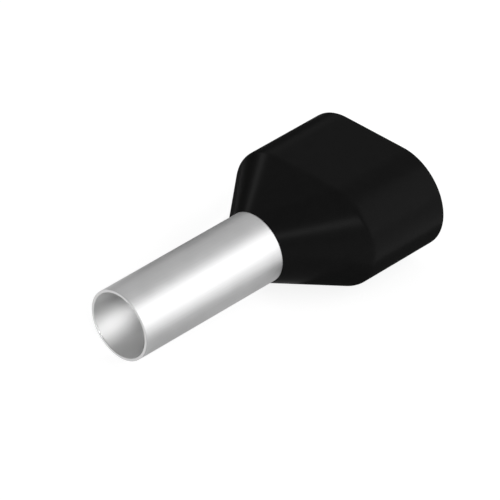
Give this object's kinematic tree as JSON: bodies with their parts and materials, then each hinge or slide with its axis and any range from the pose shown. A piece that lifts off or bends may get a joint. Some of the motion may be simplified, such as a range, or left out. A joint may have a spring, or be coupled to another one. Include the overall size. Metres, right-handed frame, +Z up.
{
  "type": "twin wire ferrule",
  "caption": "Wire-end ferrule: a thin round tinned crimp sleeve in a black moulded collar that tapers out to a flat oval entry for insulated wires side by side.",
  "frame": {"origin": "on the sleeve's axis, at the collar's front lip, where the sleeve comes out", "axes": "+X along the sleeve's axis from its free tip to the wire entry, +Y across the pair of wires, +Z up from the collar's lower flat side"},
  "size_m": [0.0249, 0.0132, 0.0078],
  "materials": {
    "tinned_copper": "satin tin plating over drawn copper tube",
    "black_plastic": "satin moulded black polypropylene"
  },
  "bodies": {
    "root": {"crimp_sleeve": "tinned_copper", "insulating_collar": "black_plastic"}
  },
  "joints": []
}
